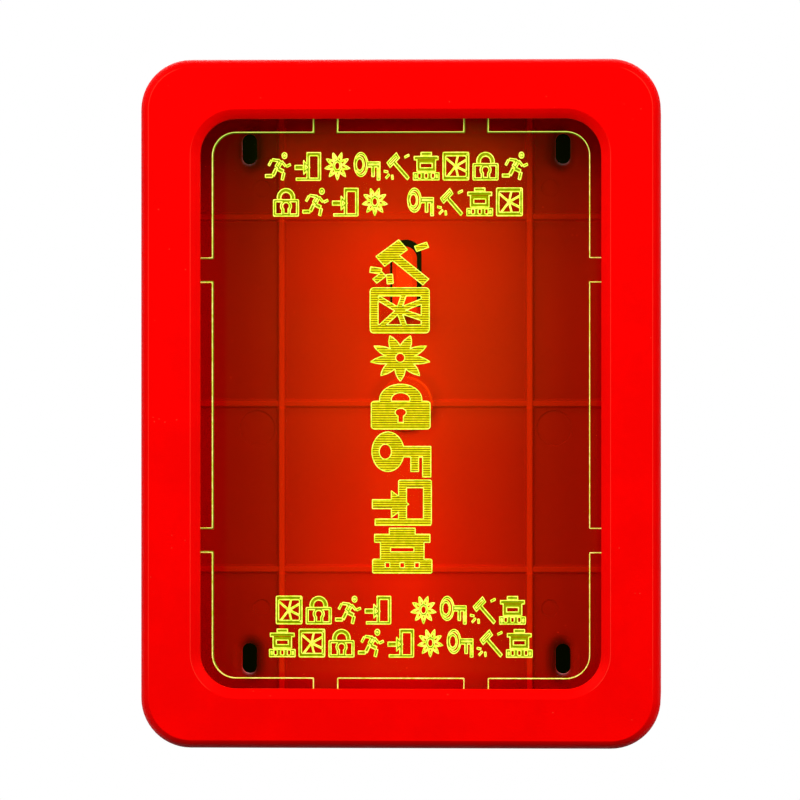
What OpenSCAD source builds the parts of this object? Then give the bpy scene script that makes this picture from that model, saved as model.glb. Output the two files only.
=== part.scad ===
// Break glass key box for a wall: a moulded tray with a key hook, a front frame that
// snaps over it, and a clear panel that hangs on eight tabs until it is pushed in.
//
// Each piece is drawn flat: x runs to the right, y runs up, and z runs off the wall.
// hang() then stands it upright, so the wall is the plane y = 0, the front faces -Y,
// and the origin is the middle of the box on the wall. All sizes are in millimetres.

/* [Box] */
// Width of the box
box_w = 151; // [151:1:190]
// Height of the box
box_h = 200; // [200:1:260]
// Depth from the wall to the front face
box_d = 40; // [38:0.5:60]
// Radius of the four outer corners
corner_r = 14.5; // [13:0.5:20]
// Thickness of the side walls
wall_t = 2.6; // [2.6:0.1:3.2]
// Thickness of the floor
floor_t = 2.4; // [2:0.1:3]
// Air behind the floor
floor_gap = 1.6; // [1.2:0.1:3]
// Radius between the floor and the side walls
floor_fillet_r = 3; // [1:0.5:5]

/* [Front frame] */
// Width of the frame from its outer edge to the opening
bezel_w = 17.2; // [17:0.1:22]
// Corner radius of the opening
opening_r = 10.5; // [8:0.5:16]
// Thickness of the frame's face
face_t = 2.4; // [2.2:0.1:3]
// Width of the rounded bevel round the opening
rim_w = 2.7; // [1.5:0.1:3]
// Depth of the rounded bevel round the opening
rim_d = 1.8; // [1.5:0.1:3]
// Radius of that bevel's curve
rim_curve_r = 9; // [4:0.5:12]
// Width of the rounded bevel on the outer edge
edge_w = 2.3; // [1:0.1:3]
// Depth of the rounded bevel on the outer edge
edge_d = 2.8; // [1:0.1:3]
// Radius of that bevel's curve
edge_curve_r = 4.5; // [3:0.5:12]
// Width of the flange that presses on the panel's tabs
flange_w = 3; // [2:0.5:4]

/* [Joint between box and frame] */
// Distance from the wall to the joint line
joint_z = 24; // [20:0.5:26]
// Height of the tongue that the frame slips over
tongue_h = 4; // [2:0.5:6]
// Thickness of the tongue
tongue_t = 1.2; // [1:0.1:1.4]
// Clearance round the tongue
tongue_clear = 0.2; // [0.1:0.05:0.3]
// Width of the shadow line at the joint
shadow_gap = 0.5; // [0.3:0.1:1]
// Width of the notch for prying the frame off
pry_w = 12; // [8:1:20]
// Height of that notch
pry_h = 2; // [1:0.5:3]

/* [Break panel] */
// Air between the panel and the opening
panel_gap = 3.3; // [2:0.1:5]
// Corner radius of the panel
panel_r = 7; // [4:0.5:10]
// Thickness of the panel
panel_t = 2; // [1.5:0.1:3]
// Distance from the front face back to the panel
panel_set_back = 4; // [3.5:0.1:6]
// Width of each tab
tab_w = 7.3; // [4:0.1:10]
// Length of a tab beyond the opening
tab_grip = 4; // [3.5:0.1:5]
// Radius where a tab joins the panel
tab_root_r = 0.6; // [0.3:0.1:1]
// Distance of the top and bottom tabs from the middle
tab_x = 21.9; // [16:0.1:30]
// Distance of the side tabs from the middle
tab_y = 39.3; // [30:0.1:50]
// Room for each tab to move in its pocket
pocket_clear = 0.6; // [0.5:0.1:1]
// How far the panel sinks in its pockets under its own weight
panel_drop = 0.4; // [0:0.1:0.4]

/* [Key hook] */
// Width of the hook's tongue
hook_w = 7.2; // [5:0.1:9]
// Thickness of the hook's tongue
hook_t = 2.4; // [2:0.1:3.5]
// Reach of the hook from the floor
hook_reach = 9; // [7:0.5:14]
// Height of the underside of the hook above the middle
hook_low = 26; // [20:0.5:30]
// Height of the hook's tip above the middle
hook_high = 46.4; // [40:0.1:48]
// Thickness of the shelf at the hook's foot
hook_shelf_t = 2.6; // [2:0.1:4]
// Width of the bevel on the hook's front edges
hook_bevel = 1.2; // [0.5:0.1:1.5]
// Air on each side of the hook in its window
hook_air = 1.1; // [0.8:0.1:2]

/* [Wall slots] */
// Distance between the left and right slots
slot_dx = 93; // [80:1:93]
// Distance between the upper and lower slots
slot_dy = 151; // [130:1:151]
// Width of each slot
slot_w = 4.5; // [4:0.5:5]
// Length of each slot
slot_l = 9; // [8:0.5:12]
// Width of the rounded countersink at the floor
sink_w = 10; // [8:0.5:10]
// Depth of that countersink
sink_depth = 2.4; // [1.5:0.1:2.6]
// Radius of its curve
sink_curve_r = 3.1; // [3:0.1:6]
// Width of the pad behind each slot
pad_w = 15; // [14:0.5:18]
// Length of the pad behind each slot
pad_l = 20; // [18:0.5:24]

/* [Floor ribs] */
// Distance of the upright ribs from the middle
upright_rib_x = 36.75; // [34:0.25:38]
// Width of the upright ribs
upright_rib_w = 1.9; // [1.2:0.1:2.4]
// Height of the upright ribs
upright_rib_h = 1.2; // [0.8:0.1:3]
// Width of the cross ribs
cross_rib_w = 1.8; // [1.2:0.1:2.4]
// Height of the cross ribs
cross_rib_h = 0.9; // [0.6:0.1:3]
// Radius where a rib meets the floor
rib_foot_r = 0.8; // [0.3:0.1:1.5]
// Height of the upper cross rib above the middle
upper_rib_y = 55.3; // [52:0.1:60]
// Depth of the lower cross rib below the middle
lower_rib_y = 49; // [30:0.5:60]
// Radius of the round boss in the middle
boss_r = 8; // [5:0.5:12]
// Height of the round boss
boss_h = 0.8; // [0.6:0.1:3]

/* [Snap latches] */
// Distance of the side latches from the middle
latch_y = 66; // [60:0.5:70]
// Width of each latch
latch_w = 12; // [8:0.5:14]
// Thickness of a latch arm
latch_t = 1.6; // [1.2:0.1:2]
// Distance from the wall to the ledge that a latch catches
ledge_z = 20; // [18:0.1:20]
// How far the ledge stands off the side wall
ledge_w = 1.4; // [1:0.1:2]

/* [Hidden] */
$fn = 96;

// Overlap of shapes that are joined, and overshoot of shapes that cut
lap = 0.5;

// Faces, measured off the wall
floor_z = floor_gap + floor_t;
seat_z = joint_z + tongue_h;
face_back_z = box_d - face_t;
panel_front_z = box_d - panel_set_back;
panel_back_z = panel_front_z - panel_t;

// Half sizes of the hollow inside the side walls
inner_x = box_w / 2 - wall_t;
inner_y = box_h / 2 - wall_t;

// The opening, the panel in it and the panel's tabs
opening_w = box_w - 2 * bezel_w;
opening_h = box_h - 2 * bezel_w;
panel_w = opening_w - 2 * panel_gap;
panel_h = opening_h - 2 * panel_gap;
tab_reach = panel_gap + tab_grip;
pocket_t = 1.2;
pocket_back_z = panel_back_z + 0.5;

// The brackets that hold the tabs from behind
bracket_t = 2;
bracket_start = 2;
bracket_land = 4;
bracket_foot_z = 12;
bracket_nose = 4;

// The slots
slot_straight = slot_l - slot_w;
pad_r = 3;

// The draft of the ribs, and the least of it that stays straight above the foot
rib_draft = 0.3;
rib_straight = 0.2;

// The hook
hook_tip_y = hook_high - hook_w / 2;
hook_front_z = floor_z + hook_reach;
window_w = hook_w + 2 * hook_air;
window_tip_y = hook_tip_y + hook_air;
window_low_y = hook_low + hook_shelf_t;

// Round marks that the ejector pins leave in the floor: x, y and radius
mark_depth = 0.2;
pin_marks = [[42.7, 63.8, 2.5], [42.7, -60.5, 2.5], [44, -7.2, 5.2]];

// The latches
latch_gap = 0.2;
latch_in = ledge_w + latch_gap + latch_t;
latch_out = ledge_w + latch_gap;
nose_clear = 0.5;
nose_z = ledge_z - 0.1;
nose_flat = 1;
nose_lead = 2.7;
nose_point = 0.3;
latch_root = 0.8;
ledge_t = 1.4;
ledge_extra_w = 2;
latch_window_w = 3.5;
latch_window_z = 8;

// Stands a flat drawing upright against the wall
module hang() {
    rotate([90, 0, 0]) children();
}

// A rectangle with round corners, about the origin
module round_rect(w, h, r) {
    square([w - 2 * r, h], center = true);
    square([w, h - 2 * r], center = true);
    for (x = [-1, 1], y = [-1, 1]) {
        translate([x * (w / 2 - r), y * (h / 2 - r)]) circle(r);
    }
}

// A plate with round corners that starts at z
module plate(w, h, r, z, t) {
    translate([0, 0, z]) linear_extrude(t) round_rect(w, h, r);
}

// Sweeps a profile round a rectangle with round corners. The profile's x runs
// outwards from the middle of the corner, so the outline lies at x = r.
module sweep_round(w, h, r) {
    for (mx = [0, 1], my = [0, 1]) {
        mirror([mx, 0, 0]) mirror([0, my, 0]) translate([w / 2 - r, h / 2 - r, 0])
            rotate_extrude(angle = 90) children();
    }
    for (mx = [0, 1]) {
        mirror([mx, 0, 0]) translate([w / 2 - r, h / 2 - r, 0])
            rotate([90, 0, 0]) linear_extrude(h - 2 * r) children();
    }
    for (my = [0, 1]) {
        mirror([0, my, 0]) translate([r - w / 2, h / 2 - r, 0])
            rotate([90, 0, 90]) linear_extrude(w - 2 * r) children();
    }
}

// What a rounded bevel takes off an edge: the corner lies at the origin, the bevel
// runs w back along x and d down along z, and r is the radius of its curve.
module bevel_cut(w, d, r) {
    chord = sqrt(w * w + d * d);
    sink = sqrt(r * r - chord * chord / 4);
    difference() {
        translate([-w - lap / 2, -d - lap / 2]) square([w + 1.5 * lap, d + 1.5 * lap]);
        translate([-w / 2 - sink * d / chord, -d / 2 - sink * w / chord]) circle(r);
    }
}

// Puts its children at the eight tabs: x runs outwards from the opening's edge
module at_tabs() {
    for (s = [-1, 1], t = [-1, 1]) {
        translate([s * opening_w / 2, t * tab_y, 0]) rotate(90 - 90 * s) children();
        translate([t * tab_x, s * opening_h / 2, 0]) rotate(90 * s) children();
    }
}

// Puts its children at the six latches: x runs outwards from the hollow's edge
module at_latches() {
    for (s = [-1, 1]) {
        for (t = [-1, 1]) {
            translate([s * inner_x, t * latch_y, 0]) rotate(90 - 90 * s) children();
        }
        translate([0, s * inner_y, 0]) rotate(90 * s) children();
    }
}

// Extrudes a profile, drawn with x outwards and y off the wall, to a width about y = 0
module across(w) {
    translate([0, w / 2, 0]) rotate([90, 0, 0]) linear_extrude(w) children();
}

// The side walls, the tongue on their front edge and the fillet at their foot
module tray_walls() {
    inside = corner_r - wall_t;
    sweep_round(box_w, box_h, corner_r) {
        translate([inside, 0]) square([wall_t, joint_z]);
        translate([inside, joint_z - lap]) square([tongue_t, tongue_h + lap]);
        difference() {
            translate([inside - floor_fillet_r, floor_z - lap])
                square([floor_fillet_r + lap, floor_fillet_r + lap]);
            translate([inside - floor_fillet_r, floor_z + floor_fillet_r])
                circle(floor_fillet_r);
        }
    }
}

// A rib across the floor, with a little draft and a round foot
module rib(length, w, h) {
    foot = min(rib_foot_r, h - rib_straight);
    across(length) for (m = [0, 1]) mirror([m, 0]) {
        polygon([
            [-lap, floor_z - lap],
            [w / 2, floor_z - lap],
            [w / 2, floor_z + foot],
            [w / 2 - rib_draft, floor_z + h],
            [-lap, floor_z + h]
        ]);
        difference() {
            translate([w / 2 - rib_draft, floor_z - lap]) square([foot + rib_draft, foot + lap]);
            translate([w / 2 + foot, floor_z + foot]) circle(foot);
        }
    }
}

module floor_ribs() {
    for (s = [-1, 1]) {
        translate([s * upright_rib_x, 0, 0])
            rib(2 * inner_y + lap, upright_rib_w, upright_rib_h);
    }
    for (y = [upper_rib_y, 0, -lower_rib_y]) {
        translate([0, y, 0]) rotate(90) rib(2 * inner_x + lap, cross_rib_w, cross_rib_h);
    }
    translate([0, 0, floor_z - lap]) cylinder(r = boss_r, h = boss_h + lap);
}

// The hook: a shelf off the floor and a tongue with a round tip standing on it
module key_hook() {
    translate([-hook_w / 2, hook_low, floor_z - lap])
        cube([hook_w, hook_shelf_t, hook_reach - hook_bevel + lap]);
    translate([0, 0, hook_front_z - hook_t]) linear_extrude(hook_t - hook_bevel) {
        translate([-hook_w / 2, hook_low]) square([hook_w, hook_tip_y - hook_low]);
        translate([0, hook_tip_y]) circle(hook_w / 2);
    }
    translate([0, (hook_low + hook_tip_y) / 2, 0]) across(hook_tip_y - hook_low) polygon([
        [-hook_w / 2, hook_front_z - hook_bevel],
        [hook_w / 2, hook_front_z - hook_bevel],
        [hook_w / 2 - hook_bevel, hook_front_z],
        [hook_bevel - hook_w / 2, hook_front_z]
    ]);
    translate([0, hook_tip_y, hook_front_z - hook_bevel])
        cylinder(r1 = hook_w / 2, r2 = hook_w / 2 - hook_bevel, h = hook_bevel);
}

// The window behind the hook, which the mould needs and a key ring passes
module hook_window() {
    translate([0, 0, -lap]) linear_extrude(floor_z + 2 * lap) {
        translate([-window_w / 2, window_low_y])
            square([window_w, window_tip_y - window_low_y]);
        translate([0, window_tip_y]) circle(window_w / 2);
    }
}

module at_slots() {
    for (x = [-1, 1], y = [-1, 1]) {
        translate([x * slot_dx / 2, y * slot_dy / 2, 0]) children();
    }
}

// The profile of the rounded countersink, outwards from the slot's middle
module slot_sink() {
    translate([slot_w / 2, floor_z]) mirror([1, 0])
        bevel_cut((sink_w - slot_w) / 2, sink_depth, sink_curve_r);
}

// One upright slot with its long countersink
module wall_slot() {
    translate([0, 0, -lap]) linear_extrude(floor_z + 2 * lap) {
        square([slot_w, slot_straight], center = true);
        for (s = [-1, 1]) translate([0, s * slot_straight / 2]) circle(slot_w / 2);
    }
    for (s = [-1, 1]) {
        translate([0, s * slot_straight / 2, 0]) rotate_extrude() slot_sink();
    }
    across(slot_straight) for (m = [0, 1]) mirror([m, 0]) slot_sink();
}

// A bracket on the side wall, with a land that holds a tab from behind
module tab_bracket() {
    wall_x = bezel_w - wall_t;
    land_end = bracket_start + bracket_land;
    across(bracket_t) polygon([
        [wall_x + lap, bracket_foot_z],
        [wall_x + lap, seat_z - lap],
        [wall_x, seat_z - lap],
        [land_end, panel_back_z],
        [bracket_start, panel_back_z],
        [bracket_start, panel_back_z - bracket_nose],
        [wall_x, bracket_foot_z]
    ]);
}

// A ledge on the side wall with a lead-in towards the front
module latch_ledge() {
    across(latch_w + ledge_extra_w) polygon([
        [lap, ledge_z],
        [-ledge_w, ledge_z],
        [-ledge_w, ledge_z + ledge_t],
        [0, ledge_z + ledge_t + ledge_w],
        [lap, ledge_z + ledge_t + ledge_w]
    ]);
}

module latch_window() {
    w = latch_w + ledge_extra_w;
    translate([-latch_window_w, -w / 2, -lap])
        cube([latch_window_w, w, latch_window_z + lap]);
}

// The moulded tray that is screwed to the wall
module back_box() {
    color("red") hang() difference() {
        union() {
            tray_walls();
            plate(box_w - wall_t, box_h - wall_t, corner_r - wall_t / 2, floor_gap, floor_t);
            at_slots() plate(pad_w, pad_l, pad_r, 0, floor_gap + lap);
            floor_ribs();
            key_hook();
            at_tabs() tab_bracket();
            at_latches() latch_ledge();
        }
        at_slots() wall_slot();
        hook_window();
        at_latches() latch_window();
        for (s = [-1, 1], m = pin_marks) {
            translate([s * m[0], m[1], floor_z - mark_depth])
                cylinder(r = m[2], h = mark_depth + lap);
        }
        translate([-pry_w / 2, -box_h / 2 - lap, joint_z - pry_h])
            cube([pry_w, wall_t - tongue_t + lap, pry_h + lap]);
    }
}

// The frame as a solid block with a rounded bevel on its front edge
module frame_block() {
    low = joint_z + shadow_gap;
    difference() {
        plate(box_w, box_h, corner_r, low, box_d - low);
        sweep_round(box_w, box_h, corner_r) translate([corner_r, box_d])
            bevel_cut(edge_w, edge_d, edge_curve_r);
    }
}

// The hollow behind the frame's face, with the rebate for the tray's tongue
module frame_hollow() {
    lip_t = wall_t - tongue_t - tongue_clear;
    plate(box_w - 2 * wall_t, box_h - 2 * wall_t, corner_r - wall_t, 0, face_back_z);
    plate(box_w - 2 * lip_t, box_h - 2 * lip_t, corner_r - lip_t, 0, seat_z);
}

// Three low walls round the end of a tab, on the back of the frame's face
module tab_pocket() {
    reach = tab_grip + pocket_clear;
    width = tab_w + 2 * pocket_clear;
    height = face_back_z - pocket_back_z + lap;
    translate([0, 0, pocket_back_z]) difference() {
        translate([flange_w - lap, -width / 2 - pocket_t, 0])
            cube([reach + pocket_t - flange_w + lap, width + 2 * pocket_t, height]);
        translate([flange_w - 2 * lap, -width / 2, -lap])
            cube([reach - flange_w + 2 * lap, width, height]);
    }
}

// The front frame that snaps over the tray
module front_frame() {
    color("red") hang() difference() {
        union() {
            difference() {
                frame_block();
                frame_hollow();
            }
            plate(opening_w + 2 * flange_w, opening_h + 2 * flange_w, opening_r + flange_w,
                panel_front_z, face_back_z - panel_front_z + lap);
            at_tabs() tab_pocket();
        }
        plate(opening_w, opening_h, opening_r, 0, box_d + lap);
        sweep_round(opening_w, opening_h, opening_r) translate([opening_r, box_d])
            mirror([1, 0]) bevel_cut(rim_w, rim_d, rim_curve_r);
    }
}

// The panel: it drops out of the opening when its eight tabs snap
module break_panel() {
    color("yellowgreen", 0.4) hang() translate([0, -panel_drop, panel_back_z])
    linear_extrude(panel_t) {
        round_rect(panel_w, panel_h, panel_r);
        at_tabs() {
            translate([-panel_gap - lap, -tab_w / 2]) square([tab_reach + lap, tab_w]);
            for (m = [0, 1]) {
                mirror([0, m]) translate([-panel_gap, tab_w / 2]) difference() {
                    translate([-lap, -lap]) square(tab_root_r + lap);
                    translate([tab_root_r, tab_root_r]) circle(tab_root_r);
                }
            }
        }
    }
}

// One latch arm with its hooked nose
module latch_arm() {
    across(latch_w) polygon([
        [-latch_in - latch_root, face_back_z],
        [-latch_out + latch_root, face_back_z],
        [-latch_out, face_back_z - latch_root],
        [-latch_out, nose_z],
        [-nose_clear, nose_z],
        [-nose_clear, nose_z - nose_flat],
        [-latch_out - nose_point, nose_z - nose_flat - nose_lead],
        [-latch_in, nose_z - nose_flat - nose_lead],
        [-latch_in, face_back_z - latch_root]
    ]);
}

// The six latch arms behind the frame's face
module snap_latches() {
    color("red") hang() at_latches() latch_arm();
}

back_box();
front_frame();
break_panel();
snap_latches();
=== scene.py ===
"""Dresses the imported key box: moulded plastic, glowing acrylic, engraved marks, light and camera."""

import math

import bpy
import numpy as np
from bpy.props import FloatProperty, FloatVectorProperty, PointerProperty
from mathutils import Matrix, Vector


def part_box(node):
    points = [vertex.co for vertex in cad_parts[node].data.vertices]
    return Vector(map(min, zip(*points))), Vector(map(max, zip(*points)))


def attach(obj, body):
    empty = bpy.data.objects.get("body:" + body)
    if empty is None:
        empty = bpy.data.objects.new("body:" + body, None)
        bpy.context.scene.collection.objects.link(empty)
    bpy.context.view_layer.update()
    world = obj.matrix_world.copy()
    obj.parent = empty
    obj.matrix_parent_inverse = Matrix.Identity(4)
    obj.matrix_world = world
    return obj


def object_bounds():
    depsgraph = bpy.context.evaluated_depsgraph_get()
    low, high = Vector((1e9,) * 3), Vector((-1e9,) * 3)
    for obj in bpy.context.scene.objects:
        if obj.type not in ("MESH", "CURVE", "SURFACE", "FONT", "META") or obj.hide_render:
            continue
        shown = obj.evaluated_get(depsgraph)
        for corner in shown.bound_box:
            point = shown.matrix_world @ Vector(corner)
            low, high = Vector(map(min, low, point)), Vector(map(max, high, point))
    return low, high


bl_info = {
    "name": "Break Glass Key Box",
    "version": (1, 0, 0),
    "blender": (4, 5, 0),
    "location": "3D View > Sidebar > Key Box",
    "description": "Gives the key box its plastic, its acrylic panel, its engraving and its light",
    "category": "Object",
}

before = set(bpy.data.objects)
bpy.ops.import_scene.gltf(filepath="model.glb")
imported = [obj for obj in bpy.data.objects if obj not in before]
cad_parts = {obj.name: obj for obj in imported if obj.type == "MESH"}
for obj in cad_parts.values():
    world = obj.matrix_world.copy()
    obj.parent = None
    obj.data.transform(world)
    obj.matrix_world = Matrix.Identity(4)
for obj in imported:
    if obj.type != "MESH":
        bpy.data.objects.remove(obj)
CAD_LOW, CAD_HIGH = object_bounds()
PANEL_LOW, PANEL_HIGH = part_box("break_panel")
MM = 0.001


def mm(*values):
    """These lengths in metres."""
    return tuple(value * MM for value in values)


# The moulded outlines that the finish follows, on the front of the box
BOX_HALF = (CAD_HIGH.x, CAD_HIGH.z)
BOX_CORNER = 14.5 * MM
EDGE_BEVEL = 2.3 * MM
HOLLOW_HALF = mm(72.9, 97.4)
HOLLOW_CORNER = 11.9 * MM
HOLLOW_INSET = 1.0 * MM
CROSS_RIBS = mm(55.3, 0.0, -49)
RIB_HALF = 0.9 * MM
BOSS_RADIUS = 8.0 * MM
SLOT_PLACE = mm(46.5, 75.5)
SLOT_HALF = mm(2.25, 4.5)
OPENING_HALF = mm(58.3, 82.8)
OPENING_CORNER = 10.5 * MM
RIM_BEVEL = 2.7 * MM

# The shading of the tray's floor: where each fade starts and ends, from the middle of the box.
# Its lightest part stands a little to the left of the middle.
FLOOR_MIDDLE = mm(38, 6)
MIDDLE_LEAN = 2.5 * MM
UPPER_PART = mm(20, 55)
TOP_PART = mm(62, 77)
TOP_END = mm(76, 84)
LOWER_PART = mm(-45, -65)
LOW_END = mm(-79, -85)
UPPER_SIDES = mm(20, 60)
RIGHT_SIDE = mm(36, 44)
RIGHT_RISE = mm(-5, 30)
RIGHT_EDGE = mm(46, 58)
SHEET_HUE = mm(-80, 60)

# The same round a slot, a rib and the boss, from the edge of each
SLOT_HALO = mm(4.5, 0.0)
RIB_LIGHT = mm(0.9, 0.3)
RIB_DARK = mm(3.5, 0.0)
BOSS_HALO = mm(4.5, 1.0)
BOSS_LINE = mm(0.9, 0.0)
BOSS_LINE_AWAY = 0.8 * MM
# Where the painted highlight on the boss's rim lies
BOSS_HIGHLIGHT_WIDTH = mm(0.5, 0.15)
BOSS_HIGHLIGHT_INSET = 0.25 * MM

# On which side of a slot and of the boss these lie, from the middle of the box: the slot's inner
# side, the boss's lower right and its upper right
SLOT_SIDE = mm(51, 45)
BOSS_BELOW = mm(4, 10)
BOSS_HIGHLIGHT_SIDE = mm(7, 10)

# Where the light falls that the sheet passes on, and how soft its edge is
SHEET_LIGHT_X = 1.6 * MM
SHEET_LIGHT_HALF = mm(55.5, 80)
SHEET_LIGHT_CORNER = 7 * MM
SHEET_LIGHT_EDGE = mm(0.5, -1.5)

# Where the painted highlight lines on the frame's bevel edges fade out
OUTER_LINE_X = mm(63, 68)
OUTER_LINE_Z = mm(-90, -70)
INNER_LINE_X = mm(54, 58)
INNER_LINE_Z = mm(80, 70)

# The range of a noise that a fade spreads out, and how much wider a patch of dust is than a speck
FLOW_RANGE = (0.35, 0.65)
SMEAR_RANGE = (0.1, 0.7)
SPARKLE_RANGE = (0.3, 0.7)
SPECK_PATCH = 4

# The sheet: how far a face looks forward where it is a cut edge or a rear, where the painted glow of its
# smears fades out, its top edge, whose glow is painted dimmer, and the grid that its edge is traced on
CUT_FACING = (0.8, 0.4)
REAR_FACING = -0.5
HAZE_GLOW_X = mm(54, 14)
HAZE_GLOW_Z = mm(-115, 10)
SQUARE_REFLECTION = 0.04
TOP_EDGE = mm(70, 78)
EDGE_STEP = 0.25 * MM
EDGE_MARGIN = 2

# The engraving: depths in half widths of a line, and places across a row in steps from its
# middle, for nine signs or for two groups of four
LINE_DEPTH = 2
PLATE_DEPTH = 1.5
WIDE_ROW = [n - 4.0 for n in range(9)]
SPLIT_ROW = [n - 3.77 for n in range(4)] + [n + 0.77 for n in range(4)]

# Each row of small signs: its height, its middle, its places and its first sign
ROWS = [
    (69.0 * MM, -1.2 * MM, WIDE_ROW, 0),
    (58.6 * MM, -0.9 * MM, SPLIT_ROW, 5),
    (-60.0 * MM, 0.0, SPLIT_ROW, 2),
    (-69.6 * MM, 0.0, WIDE_ROW, 7),
]
ROW_STRIDE = 3

# The tracing of a sign: points across the sheet it is measured on, grid steps left free round
# it, how far a point may lie off the line, and the longest stretch without a point
DRAWING_POINTS = 401
GRID_MARGIN = 3
TRACE_TOLERANCE = 0.01 * MM
LONGEST_STRETCH = 1.5 * MM

# The stage, in metres
FLOOR_HALF = 6.0
FLOOR_FADE = (0.3, 1.2)

BLACK = (0.0, 0.0, 0.0)
WHITE = (1.0, 1.0, 1.0)
PURE_RED = (1.0, 0.0, 0.0)


class Socket:
    """An output socket that Python arithmetic works on; without a link it is the node tree."""

    def __init__(self, tree, link=None):
        self.tree = tree
        self.link = link

    def add(self, kind, settings=None, inputs=None, output=0):
        """Adds a node: its settings come first, then the values or links of its sockets."""
        node = self.tree.nodes.new(kind)
        for name, value in (settings or {}).items():
            setattr(node, name, value)
        for name, value in (inputs or {}).items():
            if isinstance(value, Socket):
                self.tree.links.new(value.link, node.inputs[name])
            else:
                node.inputs[name].default_value = value
        return Socket(self.tree, node.outputs[output])

    def maths(self, operation, *values):
        return self.add("ShaderNodeMath", {"operation": operation}, dict(enumerate(values)))

    def __add__(self, other):
        return self.maths("ADD", self, other)

    __radd__ = __add__

    def __sub__(self, other):
        return self.maths("SUBTRACT", self, other)

    def __rsub__(self, other):
        return self.maths("SUBTRACT", other, self)

    def __mul__(self, other):
        return self.maths("MULTIPLY", self, other)

    __rmul__ = __mul__

    def __abs__(self):
        return self.maths("ABSOLUTE", self)

    def __lt__(self, other):
        return self.maths("LESS_THAN", self, other)

    def __gt__(self, other):
        return self.maths("GREATER_THAN", self, other)

    def at_least(self, other):
        return self.maths("MAXIMUM", self, other)

    def at_most(self, other):
        return self.maths("MINIMUM", self, other)

    def root(self):
        return self.maths("SQRT", self)

    def fade(self, start, end, kind="SMOOTHSTEP"):
        """0 where the value is at start, 1 where it is at end, and smooth or LINEAR between them."""
        inputs = {"Value": self, "From Min": start, "From Max": end}
        return self.add("ShaderNodeMapRange", {"interpolation_type": kind}, inputs)

    def mix(self, first, second):
        """A colour: first where this value is 0, second where it is 1."""
        node = self.tree.nodes.new("ShaderNodeMix")
        node.data_type = "RGBA"
        for socket, value in ((node.inputs[0], self), (node.inputs[6], first), (node.inputs[7], second)):
            if isinstance(value, Socket):
                self.tree.links.new(value.link, socket)
            else:
                socket.default_value = rgba(value)
        return Socket(self.tree, node.outputs[2])


def rgba(colour):
    return (*colour[:3], 1.0)


def new_material(name):
    """A material with a Principled shader, and its tree to add nodes to."""
    made = bpy.data.materials.new(name)
    made.use_nodes = True
    return made, Socket(made.node_tree)


def finish(made, tree, **sockets):
    """Sets or links the Principled shader's sockets; an underscore stands for a space."""
    shader = made.node_tree.nodes["Principled BSDF"]
    for name, value in sockets.items():
        target = shader.inputs[name.replace("_", " ")]
        if isinstance(value, Socket):
            tree.tree.links.new(value.link, target)
        else:
            target.default_value = value
    return made


def place(tree):
    """The point on the object, in metres, and its three coordinates."""
    point = tree.add("ShaderNodeTexCoord", output="Object")
    parts = [
        tree.add("ShaderNodeSeparateXYZ", inputs={"Vector": point}, output=axis) for axis in "XYZ"
    ]
    return point, parts


def noise(tree, point, scale, detail=2.0, roughness=0.5):
    inputs = {"Vector": point, "Scale": scale, "Detail": detail, "Roughness": roughness}
    return tree.add("ShaderNodeTexNoise", inputs=inputs)


def outline_distance(x, z, half, corner):
    """Distance to a rectangle with round corners, below zero inside it."""
    across = abs(x) - (half[0] - corner)
    up = abs(z) - (half[1] - corner)
    beyond_x = across.at_least(0.0)
    beyond_z = up.at_least(0.0)
    beyond = (beyond_x * beyond_x + beyond_z * beyond_z).root()
    return beyond + across.at_least(up).at_most(0.0) - corner


def paint(name, made):
    """Gives a CAD node one material all over."""
    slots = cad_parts[name].data.materials
    slots.clear()
    slots.append(made)


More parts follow.
